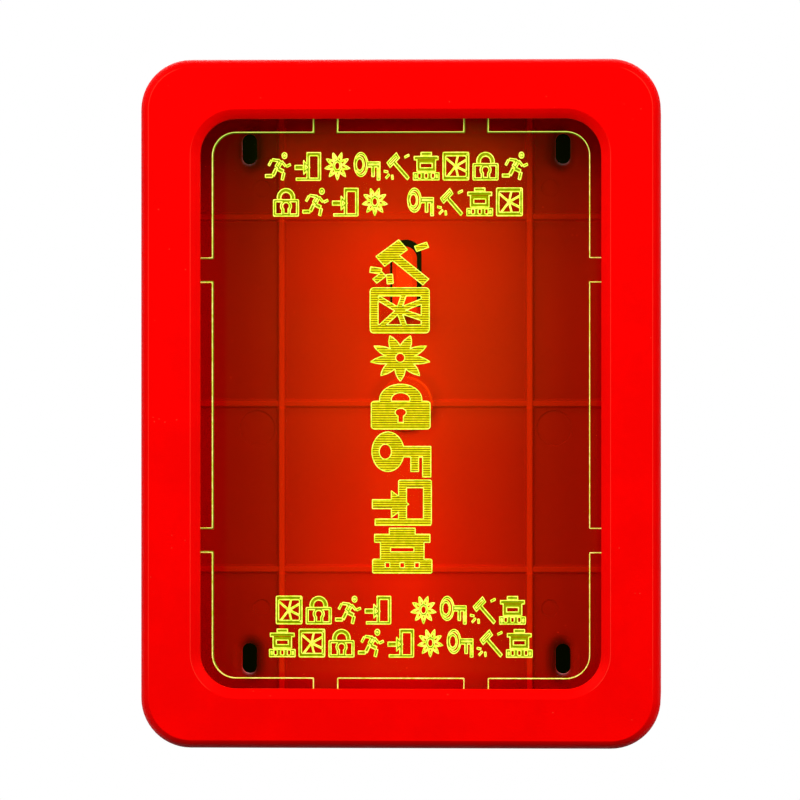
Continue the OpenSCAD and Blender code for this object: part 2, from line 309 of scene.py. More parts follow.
def red_plastic(name, look, tray):
    """Moulded red plastic: fine grain, flow marks and dust; painted light and shade in the tray, painted
    highlight lines on the frame's bevel edges.
    """
    made, tree = new_material(name)
    point, (x, y, z) = place(tree)
    flow = noise(tree, point, look.flow_scale, detail=5.0, roughness=0.65)
    grain = noise(tree, point, look.grain_scale, detail=4.0, roughness=0.6)
    colour = flow.fade(*FLOW_RANGE).mix(look.deep_red, look.red)
    if tray:
        hollow = outline_distance(x, z, HOLLOW_HALF, HOLLOW_CORNER) < -HOLLOW_INSET
        inside = hollow * (y < -look.floor_back)
        # Painted light inside the tray: raised parts lighter than the floor, lighter and more orange
        # where the sheet's light is painted on them; the floor gets its painted light and shade
        low = y.fade(-look.rib_top, -look.rib_foot) * inside
        colour = (behind_sheet(x, z) * inside).mix(colour, look.lit_raised_red)
        colour = low.mix(colour, floor_colour(look, x, z))
        # A painted highlight on the boss's upper right rim
        rim = abs(boss_distance(x, z) + BOSS_HIGHLIGHT_INSET).fade(*BOSS_HIGHLIGHT_WIDTH) * (x + z).fade(*BOSS_HIGHLIGHT_SIDE)
        colour = (rim * inside * look.highlight_on_boss).mix(colour, look.boss_highlight_red)
    spots = tree.add("ShaderNodeTexVoronoi", inputs={"Vector": point, "Scale": look.speck_scale})
    patches = noise(tree, point, look.speck_scale / SPECK_PATCH)
    speck = (spots < look.speck_size) * (patches > look.speck_rarity)
    colour = (speck * look.speck_strength).mix(colour, look.speck_and_highlight_red)
    rough = look.roughness + (grain - 0.5) * look.roughness_spread
    # Painted highlight lines where the bevel edges catch the side lamps: the outer bevel's sides, fading
    # out low down, and the opening rim's sides, fading out high up
    if not tray:
        outer = abs(outline_distance(x, z, BOX_HALF, BOX_CORNER) + EDGE_BEVEL)
        inner = abs(outline_distance(x, z, OPENING_HALF, OPENING_CORNER) - RIM_BEVEL)
        outer = outer.fade(look.highlight_line, 0.0) * (abs(x).fade(*OUTER_LINE_X) * z.fade(*OUTER_LINE_Z))
        inner = inner.fade(look.highlight_line, 0.0) * (abs(x).fade(*INNER_LINE_X) * z.fade(*INNER_LINE_Z))
        colour = (outer.at_least(inner) * look.highlight_strength).mix(colour, look.speck_and_highlight_red)
    rounded = tree.add("ShaderNodeBevel", {"samples": 4}, {"Radius": look.edge_round})
    bump = {
        "Strength": look.grain_strength,
        "Distance": look.grain_depth,
        "Height": grain,
        "Normal": rounded,
    }
    return finish(
        made,
        tree,
        Base_Color=colour,
        Roughness=rough,
        Specular_IOR_Level=look.specular,
        Specular_Tint=rgba(look.sheen_red),
        Normal=tree.add("ShaderNodeBump", inputs=bump),
    )


def floor_colour(look, x, z):
    """The floor's painted light and shade: lightest up its middle, dark beside the ribs, greener behind
    the sheet.
    """
    middle = abs(x + MIDDLE_LEAN).fade(*FLOOR_MIDDLE, "LINEAR") * look.middle_level + look.floor_level
    middle *= z.fade(*UPPER_PART) * look.upper_level + z.fade(*TOP_PART) * look.top_level + 1.0
    middle *= 1.0 - z.fade(*TOP_END) * look.top_shade - z.fade(*LOW_END) * look.low_shade
    side = abs(x).fade(look.side_start, look.side_end)
    beside = z.fade(*UPPER_SIDES) + x.fade(*RIGHT_SIDE) * z.fade(*RIGHT_RISE)
    beside += x.fade(*RIGHT_EDGE)
    level = middle * (1.0 - side) + side * look.side_level * (beside * look.beside_level + 1.0)
    level *= 1.0 - z.fade(*LOWER_PART) * look.lower_shade
    # Painted shade round each slot, on its side towards the middle
    slot = outline_distance(abs(x) - SLOT_PLACE[0], abs(z) - SLOT_PLACE[1], SLOT_HALF, SLOT_HALF[0])
    level *= 1.0 - slot.fade(*SLOT_HALO) * abs(x).fade(*SLOT_SIDE) * look.slot_shade
    # Under each cross rib, a painted light line, and painted shade further below
    for height in CROSS_RIBS:
        under = (height - RIB_HALF) - z
        line = under.fade(*RIB_LIGHT) * look.rib_line - under.fade(*RIB_DARK) * look.rib_shade
        level *= line * (under > 0.0) + 1.0
    # Painted shade round the boss, deeper just past its lower right edge
    away = boss_distance(x, z)
    below = (x - z).fade(*BOSS_BELOW) * abs(away - BOSS_LINE_AWAY).fade(*BOSS_LINE)
    level *= 1.0 - (away.fade(*BOSS_HALO) + below) * (away > 0.0) * look.boss_shade
    # A greener hue where the sheet's light is painted on the floor, more so higher up
    hue = z.fade(*SHEET_HUE, "LINEAR").mix(look.behind_low, look.behind_high)
    return level.mix(BLACK, behind_sheet(x, z).mix(PURE_RED, hue))


def boss_distance(x, z):
    """Distance to the edge of the round boss in the middle, below zero inside it."""
    return (x * x + z * z).root() - BOSS_RADIUS


def behind_sheet(x, z):
    """1 where the light that the sheet passes on falls, and 0 beside it."""
    away = outline_distance(x - SHEET_LIGHT_X, z, SHEET_LIGHT_HALF, SHEET_LIGHT_CORNER)
    return away.fade(*SHEET_LIGHT_EDGE)


def acrylic(name, look):
    """Clear fluorescent sheet: nearly invisible from the front, with a painted bright lime glow at its
    cut edges.
    """
    made, tree = new_material(name)
    point, (x, _, z) = place(tree)
    normal = tree.add("ShaderNodeTexCoord", output="Normal")
    facing = abs(tree.add("ShaderNodeSeparateXYZ", inputs={"Vector": normal}, output="Y"))
    edge = facing.fade(*CUT_FACING)
    # Faint smears, with a painted glow that is strongest in the middle and higher up
    smear_and_glow = noise(tree, point, look.haze_scale).fade(*SMEAR_RANGE) * look.smear_and_glow
    smear_and_glow *= abs(x).fade(*HAZE_GLOW_X) * z.fade(*HAZE_GLOW_Z, "LINEAR")
    outside = 1.0 - tree.add("ShaderNodeNewGeometry", output="Backfacing")
    aslant = tree.add("ShaderNodeFresnel", inputs={"IOR": look.sheet_ior}) - SQUARE_REFLECTION
    sheen = aslant.at_least(0.0) * outside
    return finish(
        made,
        tree,
        Base_Color=edge.mix(look.sheet_colour, look.glow_colour),
        Alpha=(smear_and_glow + look.sheet_alpha + sheen * look.sheen).at_least(edge * look.edge_alpha),
        Emission_Color=edge.mix(BLACK, look.glow_colour),
        Emission_Strength=look.glow,
        Roughness=look.sheet_roughness,
        Specular_IOR_Level=look.sheet_specular,
    )


def glowing(name, colour, strength, look, top_colour=None, rear_colour=None):
    """A cut or engraved surface of the sheet, painted to glow with the light the sheet gathers.

    The sheet's top edge may have a dimmer painted glow, and an upright piece's rear a brighter one.
    An upright piece is drawn flat, so its own y runs up and its own z runs out of the front."""
    made, tree = new_material(name)
    point, (_, up, _) = place(tree)
    sparkle = noise(tree, point, look.sparkle_scale, detail=3.0).fade(*SPARKLE_RANGE)
    dim = [channel * share for channel, share in zip(colour, look.sparkle_low)]
    shade = sparkle.mix(dim, colour)
    if top_colour:
        shade = up.fade(*TOP_EDGE).mix(shade, top_colour)
    glow = shade
    if rear_colour:
        normal = tree.add("ShaderNodeTexCoord", output="Normal")
        facing = tree.add("ShaderNodeSeparateXYZ", inputs={"Vector": normal}, output="Z")
        rear = facing < REAR_FACING
        shade = rear.mix(shade, rear_colour)
        glow = rear.mix(shade, [channel * look.rear_gain for channel in rear_colour])
    return finish(
        made,
        tree,
        Base_Color=shade,
        Emission_Color=glow,
        Emission_Strength=strength,
        Roughness=look.cut_roughness,
        Specular_IOR_Level=0.0,
    )


# Flat drawing: each shape is a field that is below zero inside the shape. A sign is drawn on a
# sheet from -1 to 1, and field_of() then stretches it to fill its cell.


def disc(x, y, centre, radius):
    return np.hypot(x - centre[0], y - centre[1]) - radius


def bar(x, y, start, end, width):
    """A straight stroke with square ends."""
    along = np.subtract(end, start)
    length = np.hypot(*along)
    u = ((x - start[0]) * along[0] + (y - start[1]) * along[1]) / length
    v = ((y - start[1]) * along[0] - (x - start[0]) * along[1]) / length
    return np.maximum(abs(u - length / 2) - length / 2, abs(v) - width / 2)


def round_box(x, y, centre, half, corner):
    across = abs(x - centre[0]) - half[0] + corner
    up = abs(y - centre[1]) - half[1] + corner
    outside = np.hypot(np.maximum(across, 0), np.maximum(up, 0))
    return outside + np.minimum(np.maximum(across, up), 0) - corner


def join(*fields):
    return np.minimum.reduce(fields)


def cut(field, *holes):
    return np.maximum.reduce([field, *[-hole for hole in holes]])


def draw_key(x, y):
    bow = cut(disc(x, y, (-0.30, 0.02), 0.36), disc(x, y, (-0.36, 0.02), 0.14))
    blade = bar(x, y, (0.0, 0.02), (0.66, 0.02), 0.19)
    bits = [bar(x, y, (0.30, 0.0), (0.30, -0.34), 0.17), bar(x, y, (0.57, 0.0), (0.57, -0.44), 0.18)]
    return join(bow, blade, *bits)


def draw_hammer(x, y):
    head = bar(x, y, (-0.44, 0.04), (0.06, 0.44), 0.30)
    handle = bar(x, y, (-0.14, 0.16), (0.56, -0.46), 0.19)
    rays = [
        bar(x, y, (-0.42, -0.20), (-0.66, -0.16), 0.13),
        bar(x, y, (-0.36, -0.27), (-0.56, -0.44), 0.13),
        bar(x, y, (-0.24, -0.28), (-0.22, -0.50), 0.13),
        bar(x, y, (0.34, 0.34), (0.60, 0.44), 0.13),
    ]
    return join(head, handle, *rays)


def draw_burst(x, y):
    points, low, high = 9, 0.25, 0.50
    wide = x / 1.28
    turn = np.arctan2(y, wide) * points / (2 * np.pi) + 0.25
    spike = abs(turn - np.round(turn)) * 2
    star = (np.hypot(wide, y) - (high - (high - low) * spike)) * 0.7
    return cut(star, disc(x, y, (0, 0), 0.10))


def draw_pane(x, y):
    ring = cut(round_box(x, y, (0, 0), (0.64, 0.48), 0.08), round_box(x, y, (0, 0), (0.47, 0.31), 0.03))
    ends = [(0.50, 0.20), (0.10, 0.36), (-0.46, 0.26), (-0.40, -0.34), (0.12, -0.38), (0.52, -0.18)]
    return join(ring, *[bar(x, y, (-0.02, 0.0), end, 0.10) for end in ends])


def draw_lock(x, y):
    body = round_box(x, y, (0, -0.18), (0.46, 0.30), 0.06)
    shackle = cut(disc(x, y, (0, 0.16), 0.33), disc(x, y, (0, 0.16), 0.15))
    keyhole = join(disc(x, y, (0, -0.12), 0.09), bar(x, y, (0, -0.12), (0, -0.34), 0.09))
    return cut(join(body, np.maximum(shackle, 0.08 - y)), keyhole)


def draw_door(x, y):
    hole = round_box(x, y, (0.28, -0.13), (0.19, 0.45), 0.02)
    case = cut(round_box(x, y, (0.28, 0), (0.36, 0.48), 0.03), hole)
    shaft = bar(x, y, (-0.66, -0.04), (-0.20, -0.04), 0.19)
    head = np.maximum(abs(y + 0.04) * 0.80 + (x - 0.14) * 0.60, -0.24 - x)
    return join(case, shaft, head, bar(x, y, (-0.60, -0.43), (0.62, -0.43), 0.13))


def draw_box(x, y):
    lid = bar(x, y, (-0.56, 0.27), (0.56, 0.27), 0.17)
    knob = bar(x, y, (-0.26, 0.41), (0.26, 0.41), 0.16)
    window = bar(x, y, (-0.24, 0.02), (0.24, 0.02), 0.10)
    body = cut(round_box(x, y, (0, 0.02), (0.44, 0.22), 0.02), window)
    base = round_box(x, y, (0, -0.34), (0.60, 0.15), 0.03)
    holes = [round_box(x, y, (across, -0.32), (0.05, 0.06), 0.02) for across in (-0.3, 0, 0.3)]
    return cut(join(lid, knob, body, base), *holes)


def draw_runner(x, y):
    limbs = [
        ((0.10, 0.22), (-0.10, -0.06), 0.24),
        ((0.06, 0.20), (-0.30, 0.24), 0.13),
        ((-0.30, 0.24), (-0.44, 0.02), 0.13),
        ((0.10, 0.20), (0.30, 0.0), 0.13),
        ((0.30, 0.0), (0.52, 0.08), 0.13),
        ((-0.08, -0.06), (0.22, -0.18), 0.17),
        ((0.22, -0.18), (0.14, -0.48), 0.16),
        ((-0.10, -0.06), (-0.26, -0.32), 0.17),
        ((-0.24, -0.32), (-0.60, -0.32), 0.16),
    ]
    return join(disc(x, y, (0.24, 0.38), 0.13), *[bar(x, y, *limb) for limb in limbs])


SIGNS = [draw_hammer, draw_pane, draw_burst, draw_lock, draw_key, draw_door, draw_box]
ROW_SIGNS = [
    draw_runner,
    draw_key,
    draw_pane,
    draw_door,
    draw_hammer,
    draw_lock,
    draw_burst,
    draw_box,
]


def field_of(draw, cell_w, cell_h, step, growth):
    """The drawing's field, stretched to fill a cell, with the grid's coordinates in metres.

    Growth is how much bolder the strokes become; the drawing still fits the cell."""
    line = np.linspace(-1.0, 1.0, DRAWING_POINTS)
    gx, gy = np.meshgrid(line, line)
    drawn = draw(gx, gy) < 0
    low_x, high_x = gx[drawn].min(), gx[drawn].max()
    low_y, high_y = gy[drawn].min(), gy[drawn].max()
    scale_x = (cell_w - 2 * growth) / (high_x - low_x)
    scale_y = (cell_h - 2 * growth) / (high_y - low_y)
    before, after = GRID_MARGIN * step, (GRID_MARGIN + 1) * step
    xs = np.arange(-cell_w / 2 - before, cell_w / 2 + after, step)
    ys = np.arange(-cell_h / 2 - before, cell_h / 2 + after, step)
    gx, gy = np.meshgrid(xs, ys)
    field = draw(gx / scale_x + (low_x + high_x) / 2, gy / scale_y + (low_y + high_y) / 2)
    return field * scale_y - growth, xs, ys


def trace(field, xs, ys, level=0.0):
    """Closed loops where the field crosses the level, by marching squares."""
    value = field - level
    inside = value < 0
    ahead = {}

    def crossing(i, j, di, dj):
        share = value[i, j] / (value[i, j] - value[i + di, j + dj])
        return (
            xs[j] + share * dj * (xs[1] - xs[0]),
            ys[i] + share * di * (ys[1] - ys[0]),
        )

    corners = inside[:-1, :-1] * 1 + inside[:-1, 1:] * 2 + inside[1:, 1:] * 4 + inside[1:, :-1] * 8
    for i, j in np.argwhere((corners > 0) & (corners < 15)):
        sides = [
            (i, j, 0, 1),
            (i, j + 1, 1, 0),
            (i + 1, j, 0, 1),
            (i, j, 1, 0),
        ]
        ring = [inside[i, j], inside[i, j + 1], inside[i + 1, j + 1], inside[i + 1, j]]
        leaves = [n for n in range(4) if ring[n] and not ring[(n + 1) % 4]]
        enters = [n for n in range(4) if not ring[n] and ring[(n + 1) % 4]]
        for out in leaves:
            back = min(enters, key=lambda n: (out - n) % 4)
            ahead[sides[back]] = sides[out]
    loops = []
    while ahead:
        start, side = next(iter(ahead.items()))
        loop = [crossing(*start)]
        del ahead[start]
        while side != start:
            loop.append(crossing(*side))
            side = ahead.pop(side)
        loops.append(thin_out(loop))
    return loops


def thin_out(loop):
    """Leaves out the points that lie on the straight line between those kept."""
    kept = [loop[0]]
    for n in range(1, len(loop)):
        following = loop[(n + 1) % len(loop)]
        run = np.subtract(following, kept[-1])
        offset = np.subtract(loop[n], kept[-1])
        length = np.hypot(*run)
        away = abs(run[0] * offset[1] - run[1] * offset[0]) / max(length, 1e-9)
        if away > TRACE_TOLERANCE or np.hypot(*offset) > LONGEST_STRETCH:
            kept.append(loop[n])
    return kept


def runs_where(loop, wanted):
    """The stretches of a closed loop whose points are wanted."""
    flags = [wanted(x, z) for x, z in loop]
    if all(flags) or not any(flags):
        return [loop] if flags[0] else []
    first = flags.index(False)
    runs = [[]]
    for point, flag in zip(loop[first:] + loop[:first], flags[first:] + flags[:first]):
        if flag:
            runs[-1].append(point)
        elif runs[-1]:
            runs.append([])
    return [run for run in runs if len(run) > 1]


def line_piece(name, loops, depth, radius, made, thick=0.0, filled=False, closed=True):
    """A bead along loops, or a plate inside them, upright at a depth off the wall.

    Its thickness from front to back is that of the bead and of the stretch together."""
    curve = bpy.data.curves.new(name, "CURVE")
    curve.dimensions = "2D"
    curve.fill_mode = "BOTH" if filled else "NONE"
    curve.bevel_depth = radius
    curve.bevel_resolution = 1
    curve.extrude = thick / 2
    for loop in loops:
        spline = curve.splines.new("POLY")
        spline.points.add(len(loop) - 1)
        spline.points.foreach_set("co", [n for x, z in loop for n in (x, z, 0.0, 1.0)])
        spline.use_cyclic_u = closed
    curve.materials.append(made)
    piece = bpy.data.objects.new(name, curve)
    piece.rotation_euler = (math.pi / 2, 0, 0)
    piece.location = (0, depth, 0)
    return adopt(piece)


def adopt(piece):
    """Links a new piece of the sheet into the scene; it rides with the front frame."""
    bpy.context.scene.collection.objects.link(piece)
    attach(piece, "cover")
    return piece


def hatch_bars(field, xs, ys, pitch, inset):
    """Level bars inside a drawing: (left, right, height) of each."""
    bars = []
    rows = np.arange(ys[0] + pitch, ys[-1], pitch)
    for height in rows:
        row = field[int(round((height - ys[0]) / (ys[1] - ys[0])))] + inset
        change = np.flatnonzero((row[:-1] < 0) != (row[1:] < 0))
        places = [xs[n] + (xs[1] - xs[0]) * row[n] / (row[n] - row[n + 1]) for n in change]
        bars += [(left, right, height) for left, right in zip(places[::2], places[1::2])]
    return bars


def bar_piece(name, bars, depth, height, thick, made):
    """Flat bars, upright at a depth off the wall, as one mesh of closed boxes."""
    points = []
    faces = []
    box_faces = ((0, 1, 3, 2), (4, 6, 7, 5), (0, 4, 5, 1), (2, 3, 7, 6), (0, 2, 6, 4), (1, 5, 7, 3))
    for left, right, middle in bars:
        first = len(points)
        for x in (left, right):
            for y in (depth - thick / 2, depth + thick / 2):
                for z in (middle - height / 2, middle + height / 2):
                    points.append((x, y, z))
        faces += [[first + n for n in face] for face in box_faces]
    mesh = bpy.data.meshes.new(name)
    mesh.from_pydata(points, [], faces)
    mesh.materials.append(made)
    mesh.validate()
    return adopt(bpy.data.objects.new(name, mesh))


def moved(loops, x, z):
    return [[(px + x, pz + z) for px, pz in loop] for loop in loops]


def length_setting(name, description, default):
    """A length that the user may change, in metres."""
    return FloatProperty(
        name=name, description=description, default=default, unit="LENGTH", precision=6
    )


def angle_setting(name, description, degrees):
    default = math.radians(degrees)
    return FloatProperty(name=name, description=description, default=default, subtype="ANGLE")


def level_setting(name, description, default):
    return FloatProperty(name=name, description=description, default=default)


def colour_setting(name, description, default):
    return FloatVectorProperty(
        name=name, description=description, default=default, subtype="COLOR"
    )


class KeyBoxPlastic(bpy.types.PropertyGroup):
    red: colour_setting("Red", "Colour of the plastic", (0.975, 0.0, 0.0))
    deep_red: colour_setting("Deep red", "Colour in the flow marks", (0.91, 0.0, 0.0))
    # Hues painted where the sheet's light falls: on the floor, low and high, and on the raised ribs and
    # hook
    behind_low: colour_setting(
        "Behind, low", "The floor's hue low behind the sheet", (1.0, 0.008, 0.0)
    )
    behind_high: colour_setting(
        "Behind, high", "The floor's hue high behind the sheet", (1.0, 0.021, 0.0)
    )
    lit_raised_red: colour_setting(
        "Raised red", "Colour of ribs and hook behind the sheet", (1.0, 0.03, 0.0)
    )
    # Painted light and shade on the tray's floor
    floor_level: level_setting("Floor level", "How light the floor is beside its ribs", 0.46)
    middle_level: level_setting("Middle level", "How much lighter its middle is", 0.29)
    upper_level: level_setting("Upper level", "How much lighter its upper part is", 0.22)
    top_level: level_setting("Top level", "How much lighter it is near its top", 0.6)
    beside_level: level_setting("Beside level", "How much lighter its upper sides are", 0.1)
    side_level: level_setting("Side level", "How light the floor's sides are", 0.40)
    top_shade: level_setting("Top shade", "How much darker its top end is", 0.57)
    low_shade: level_setting("Low shade", "How much darker its low end is", 0.24)
    lower_shade: level_setting("Lower shade", "How much darker its lower part is", 0.1)
    slot_shade: level_setting("Slot shade", "How much darker it is beside the slots", 0.6)
    rib_line: level_setting("Rib line", "How much lighter it is right under a rib", 0.4)
    rib_shade: level_setting("Rib shade", "How much darker it is further below", 0.1)
    boss_shade: level_setting("Boss shade", "How much darker it is round the boss", 0.17)
    # The painted highlight on the boss's rim
    highlight_on_boss: level_setting("Boss rim", "Strength of the boss's light rim", 0.9)
    boss_highlight_red: colour_setting("Rim red", "Colour of the boss's light rim", (1.0, 0.04, 0.0))
    # Heights between which the raised parts are painted lighter than the floor
    rib_top: length_setting(
        "Rib top", "Height off the wall from which the plastic is lighter", 6.1 * MM
    )
    rib_foot: length_setting(
        "Rib foot", "Height off the wall up to which the floor is darker", 4.35 * MM
    )
    floor_back: length_setting(
        "Floor back", "Height off the wall below which the plastic is plain", 1.7 * MM
    )
    side_start: length_setting("Side start", "Where the floor's darker sides begin", 35.5 * MM)
    side_end: length_setting("Side end", "Where the floor's sides are darkest", 39 * MM)
    # Colour of the dust specks and of the painted highlight lines on the frame's bevel edges
    speck_and_highlight_red: colour_setting("Worn red", "Colour of rubbed edges and specks", (1.0, 0.04, 0.02))
    sheen_red: colour_setting("Sheen", "Colour of the sheen", (1.0, 0.06, 0.04))
    roughness: level_setting("Roughness", "Roughness of the surface", 0.48)
    roughness_spread: level_setting("Roughness spread", "Change over the grain", 0.16)
    specular: level_setting("Specular", "Strength of the sheen", 0.16)
    edge_round: length_setting("Edge round", "Rounding of the sharp edges", 0.25 * MM)
    flow_scale: level_setting("Flow scale", "Flow marks in each metre", 60.0)
    grain_scale: level_setting("Grain scale", "Grains in each metre", 1900.0)
    grain_strength: level_setting("Grain strength", "Strength of the grain", 0.12)
    grain_depth: length_setting("Grain depth", "Depth of the grain", 0.03 * MM)
    speck_scale: level_setting("Speck scale", "Dust cells in each metre", 420.0)
    speck_size: level_setting("Speck size", "Share of a cell that a speck fills", 0.09)
    speck_rarity: level_setting("Speck rarity", "Higher leaves fewer specks", 0.60)
    speck_strength: level_setting("Speck strength", "How light the specks are", 0.5)
    # The painted highlight lines on the frame's bevel edges
    highlight_line: length_setting("Edge line", "Half width of the bright line", 0.18 * MM)
    highlight_strength: level_setting("Edge strength", "How light that line is", 0.6)


class KeyBoxAcrylic(bpy.types.PropertyGroup):
    sheet_colour: colour_setting("Sheet", "Body colour of the sheet", (0.60, 0.80, 0.02))
    glow_colour: colour_setting("Glow", "Colour of the cut edges", (1.0, 0.95, 0.28))
    # The top cut edge's glow is painted dimmer
    top_colour: colour_setting("Top edge", "Colour of the top cut edge", (0.62, 0.82, 0.12))
    # Colour of the dim band of painted shade just inside the lit edge
    band_colour: colour_setting("Edge band", "Colour just inside the cut edges", (0.20, 0.28, 0.01))
    line_colour: colour_setting(
        "Engraved line", "Colour of the engraved outlines", (0.88, 1.0, 0.13)
    )
    hatch_colour: colour_setting(
        "Engraved fill", "Colour of the engraved hatching", (0.84, 0.74, 0.01)
    )
    ground_colour: colour_setting("Engraved ground", "Colour between the bars", (0.38, 0.20, 0.0))
    row_colour: colour_setting("Row ground", "Colour inside the small signs", (0.30, 0.34, 0.0))
    glow: level_setting("Glow strength", "Strength of the edge light", 0.25)
    band_glow: level_setting("Band strength", "Strength of the light inside the edge", 0.15)
    line_glow: level_setting("Line strength", "Strength of the engraved light", 0.5)
    hatch_glow: level_setting("Fill strength", "Strength of the hatching's light", 0.3)
    ground_glow: level_setting("Ground strength", "Strength of the ground's light", 0.2)
    sheet_alpha: level_setting("Sheet cover", "How much the face hides", 0.001)
    edge_alpha: level_setting("Edge cover", "How much the cut edge hides", 0.9)
    sheet_ior: level_setting("Sheet index", "Refractive index of the sheet", 1.49)
    sheen: level_setting("Side sheen", "How much more a face seen aslant hides", 1.5)
    # Smears on the face, with a painted glow strongest in the middle and higher up
    smear_and_glow: level_setting("Haze", "Faint smears on the face", 0.008)
    haze_scale: level_setting("Haze scale", "Smears in each metre", 18.0)
    sheet_roughness: level_setting("Face roughness", "Roughness of the face", 0.06)
    sheet_specular: level_setting("Face sheen", "Strength of the face's sheen", 0.3)
    sparkle_scale: level_setting("Sparkle scale", "Bright points in each metre", 700.0)
    sparkle_low: colour_setting("Sparkle low", "Darkest share of each channel", (0.66, 0.78, 0.2))
    rear_gain: level_setting("Rear gain", "How much more a sign's rear glows", 3.0)
    cut_roughness: level_setting("Cut roughness", "Roughness of cut surfaces", 0.5)
    gap: length_setting("Gap", "Air between sheet and opening", 3.3 * MM)
    corner: length_setting("Corner", "Corner radius of the sheet", 7 * MM)
    tab_w: length_setting("Tab width", "Width of a tab", 7.3 * MM)
    tab_x: length_setting("End tabs", "Place of the end tabs", 21.9 * MM)
    tab_z: length_setting("Side tabs", "Place of the side tabs", 39.3 * MM)
    edge_radius: length_setting("Edge bead", "Half width of the lit edge", 0.12 * MM)
    band_radius: length_setting("Band", "Half width of the band inside it", 0.12 * MM)


class KeyBoxEngraving(bpy.types.PropertyGroup):
    sign_w: length_setting("Sign width", "Width of a large sign", 17.4 * MM)
    sign_h: length_setting("Sign height", "Height of a large sign", 13.3 * MM)
    sign_top: length_setting("First sign", "Height of the top sign", 41.1 * MM)
    sign_pitch: length_setting("Sign pitch", "Step from sign to sign", 13.97 * MM)
    sign_lean: length_setting("Sign lean", "Step to the right from sign to sign", 0.15 * MM)
    mark_w: length_setting("Mark width", "Width of a small sign", 7.6 * MM)
    mark_h: length_setting("Mark height", "Height of a small sign", 8.3 * MM)
    mark_pitch: length_setting("Mark pitch", "Step from small sign to small sign", 8.62 * MM)
    sign_growth: length_setting("Sign growth", "How much bolder the large signs are", 0.18 * MM)
    mark_growth: length_setting("Mark growth", "How much bolder the small signs are", -0.08 * MM)
    mark_stroke: length_setting("Mark stroke", "Widest stroke of a small sign", 0.95 * MM)
    line_radius: length_setting("Line", "Half width of an engraved line", 0.16 * MM)
    hatch_pitch: length_setting("Hatch pitch", "Step between hatched bars", 0.68 * MM)
    hatch_height: length_setting("Hatch bar", "Height of a hatched bar", 0.38 * MM)
    step: length_setting("Trace step", "Grid step of the tracing", 0.12 * MM)


class KeyBoxStage(bpy.types.PropertyGroup):
    lamp_power: FloatProperty(
        name="Lamp power", description="Power of each soft lamp", default=21.4, unit="POWER"
    )
    lamp_size: length_setting("Lamp width", "Width of each lamp", 1.4)
    lamp_height: length_setting("Lamp height", "Height of each lamp", 1.0)
    lamp_distance: length_setting("Lamp distance", "Distance of each lamp", 1.5)
    lamp_turn: angle_setting("Lamp turn", "Turn to each side", 42)
    lamp_lift: angle_setting("Lamp lift", "Angle above level", 30)
    floor_colour: colour_setting("Floor colour", "Colour of the floor", (0.86, 0.86, 0.86))
    floor_bounce: colour_setting(
        "Floor bounce", "What the floor throws back at the box", (0.015, 0.015, 0.015)
    )
    behind_share: level_setting("Lamp behind", "Power of the lamp behind, as a share", 1.0)
    shade_colour: colour_setting("Wall shade", "Colour seen through the slots", (0.0, 0.001, 0.0))
    shade_gap: length_setting("Shade gap", "From the wall plane to the shade", 0.3 * MM)
    shade_inset: length_setting("Shade inset", "How far the shade stays inside the box", 2.2 * MM)
    sky: level_setting("Fill light", "Level of the light from all round", 0.015)
    floor_drop: length_setting("Floor", "Depth of the floor below the box", 0.22)
    camera_distance: length_setting("Camera distance", "From the front of the box", 1.7)
    camera_turn: angle_setting("Camera turn", "Turn to the right", 2.7)
    camera_raise: length_setting("Camera height", "Above the box's middle", 1.1 * MM)
    view_width: length_setting("View width", "Width of the picture at the box", 231.9 * MM)


class KEYBOX_OT_plastic(bpy.types.Operator):
    """Gives the tray, the front frame and the latches their moulded plastic"""

    bl_idname = "keybox.plastic"
    bl_label = "Red plastic"

    def execute(self, context):
        look = context.scene.key_box_plastic
        tray = red_plastic("tray_plastic", look, tray=True)
        paint("back_box", tray)
        paint("snap_latches", tray)
        paint("front_frame", red_plastic("frame_plastic", look, tray=False))
        return {"FINISHED"}


class KEYBOX_OT_panel(bpy.types.Operator):
    """Gives the break panel its clear sheet and its lit cut edge"""

    bl_idname = "keybox.panel"
    bl_label = "Break panel"

    def execute(self, context):
        look = context.scene.key_box_acrylic
        paint("break_panel", acrylic("clear_sheet", look))
        half = (OPENING_HALF[0] - look.gap, OPENING_HALF[1] - look.gap)
        centre = (PANEL_LOW + PANEL_HIGH) / 2

        def draw_sheet(x, z):
            sheet = round_box(x, z, (0, centre.z), half, look.corner)
            tabs = []
            for side in (-1, 1):
                across, up = side * look.tab_x, centre.z + side * look.tab_z
                tabs.append(bar(x, z, (across, PANEL_LOW.z), (across, PANEL_HIGH.z), look.tab_w))
                tabs.append(bar(x, z, (PANEL_LOW.x, up), (PANEL_HIGH.x, up), look.tab_w))
            return join(sheet, *tabs)

        before, after = EDGE_MARGIN * EDGE_STEP, (EDGE_MARGIN + 1) * EDGE_STEP
        xs = np.arange(PANEL_LOW.x - before, PANEL_HIGH.x + after, EDGE_STEP)
        zs = np.arange(PANEL_LOW.z - before, PANEL_HIGH.z + after, EDGE_STEP)
        field = draw_sheet(*np.meshgrid(xs, zs))
        thick = PANEL_HIGH.y - PANEL_LOW.y
        lit = glowing("lit_edge", look.glow_colour, look.glow, look, look.top_colour)
        loops = trace(field, xs, zs, level=-look.edge_radius)
        stretch = thick - 2 * look.edge_radius
        line_piece("panel_lit_edge", loops, centre.y, look.edge_radius, lit, stretch)
        # A dim band of painted shade just inside the lit edge, on its upper left half only
        band = glowing("edge_band", look.band_colour, look.band_glow, look)
        loops = trace(field, xs, zs, level=-2 * look.edge_radius - look.band_radius)
        slope = half[1] / half[0]
        runs = [run for loop in loops for run in runs_where(loop, lambda x, z: z > slope * x)]
        line_piece("panel_edge_band", runs, centre.y, look.band_radius, band, closed=False)
        return {"FINISHED"}


